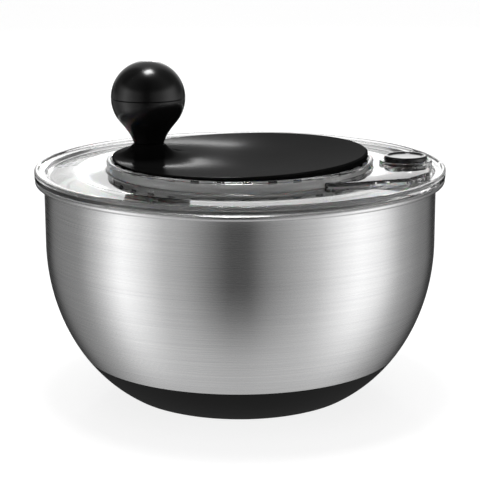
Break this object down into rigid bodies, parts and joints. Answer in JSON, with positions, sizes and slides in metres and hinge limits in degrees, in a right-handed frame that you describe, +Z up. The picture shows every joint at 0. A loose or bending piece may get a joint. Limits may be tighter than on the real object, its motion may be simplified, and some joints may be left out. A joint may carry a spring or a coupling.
{
  "type": "salad spinner",
  "caption": "Steel bowl on a soft base with a slotted basket, clear lid, crank disc with ball knob, gear drive and push-button brake.",
  "frame": {"origin": "centre of the underside of the soft base", "axes": "+Z up along the spin axis; the crank knob is at -X and the brake button at +X at rest"},
  "size_m": [0.26, 0.26, 0.2121],
  "materials": {
    "bowl_steel": "brushed round the bowl",
    "base_silicone": "matt soft silicone",
    "pin_steel": "bright turned steel",
    "screw_steel": "plain zinc",
    "basket_plastic": "translucent white moulded",
    "lid_clear": "clear glossy moulded",
    "gasket_silicone": "translucent silicone",
    "gear_plastic": "natural acetal",
    "nylon": "natural nylon",
    "black_plastic": "satin moulded",
    "button_plastic": "satin moulded",
    "brake_rubber": "matt"
  },
  "bodies": {
    "bowl": {"steel_bowl": "bowl_steel", "silicone_base": "base_silicone", "bowl_pivot": "pin_steel"},
    "pivot": {"pivot_cap": "nylon"},
    "basket": {"basket": "basket_plastic"},
    "lid": {"lid_shell": "lid_clear", "lid_gasket": "gasket_silicone", "gear_housing": "lid_clear", "housing_screws": "screw_steel", "planet_pins": "pin_steel", "planet_washers": "screw_steel", "planet_screws": "screw_steel", "brake_lever_pin": "pin_steel", "button_spring": "pin_steel"},
    "crank": {"crank_disc": "black_plastic", "crank_ring_gear": "gear_plastic", "ring_gear_screws": "screw_steel", "knob_spindle": "pin_steel", "knob_washer": "screw_steel", "knob_screw": "screw_steel"},
    "knob": {"knob_lower_shell": "black_plastic", "knob_upper_shell": "black_plastic"},
    "planet_1": {"planet_gear_1": "gear_plastic"},
    "planet_2": {"planet_gear_2": "gear_plastic"},
    "planet_3": {"planet_gear_3": "gear_plastic"},
    "drive": {"drive_gear": "gear_plastic", "center_axle": "pin_steel", "drive_plate": "basket_plastic", "drive_washer": "screw_steel", "drive_screw": "screw_steel"},
    "button": {"button_cap": "button_plastic", "button_stem": "button_plastic", "button_clip": "screw_steel"},
    "lever": {"brake_lever": "gear_plastic", "brake_pad": "brake_rubber"}
  },
  "joints": [
    {"name": "lid_lift", "type": "slide", "parent": "bowl", "child": "lid", "axis": [0, 0, 1], "range_m": [0, 0.3]},
    {"name": "basket_lift", "type": "slide", "parent": "bowl", "child": "pivot", "axis": [0, 0, 1], "range_m": [0, 0.16]},
    {"name": "basket_spin", "type": "hinge", "parent": "pivot", "child": "basket", "pos_m": [0, 0, 0], "axis": [0, 0, 1], "continuous": true},
    {"name": "crank_spin", "type": "hinge", "parent": "lid", "child": "crank", "pos_m": [0, 0, 0], "axis": [0, 0, 1], "continuous": true},
    {"name": "drive_spin", "type": "hinge", "parent": "lid", "child": "drive", "pos_m": [0, 0, 0], "axis": [0, 0, 1], "continuous": true},
    {"name": "planet_1_spin", "type": "hinge", "parent": "lid", "child": "planet_1", "pos_m": [0.0483, 0, 0], "axis": [0, 0, 1], "continuous": true},
    {"name": "planet_2_spin", "type": "hinge", "parent": "lid", "child": "planet_2", "pos_m": [-0.02415, 0.04183, 0], "axis": [0, 0, 1], "continuous": true},
    {"name": "planet_3_spin", "type": "hinge", "parent": "lid", "child": "planet_3", "pos_m": [-0.02415, -0.04183, 0], "axis": [0, 0, 1], "continuous": true},
    {"name": "knob_spin", "type": "hinge", "parent": "crank", "child": "knob", "pos_m": [-0.0576, 0, 0], "axis": [0, 0, 1], "continuous": true},
    {"name": "button_press", "type": "slide", "parent": "lid", "child": "button", "axis": [0, 0, -1], "range_m": [0, 0.003], "stiffness_N_per_m": 600, "springref_m": -0.004, "deforming": ["button_spring"]},
    {"name": "brake_swing", "type": "hinge", "parent": "lid", "child": "lever", "pos_m": [0.108, -0.032, 0], "axis": [0, 0, 1], "range_deg": [-2, 0]}
  ],
  "couplings": [
    {"joint": "basket_lift", "follows": "lid_lift", "ratio": 0.5},
    {"joint": "crank_spin", "follows": "basket_spin", "ratio": -0.27273},
    {"joint": "drive_spin", "follows": "basket_spin", "ratio": 1},
    {"joint": "planet_1_spin", "follows": "basket_spin", "ratio": -0.75},
    {"joint": "planet_2_spin", "follows": "basket_spin", "ratio": -0.75},
    {"joint": "planet_3_spin", "follows": "basket_spin", "ratio": -0.75},
    {"joint": "brake_swing", "follows": "button_press", "rad_per_m": -9.37}
  ]
}
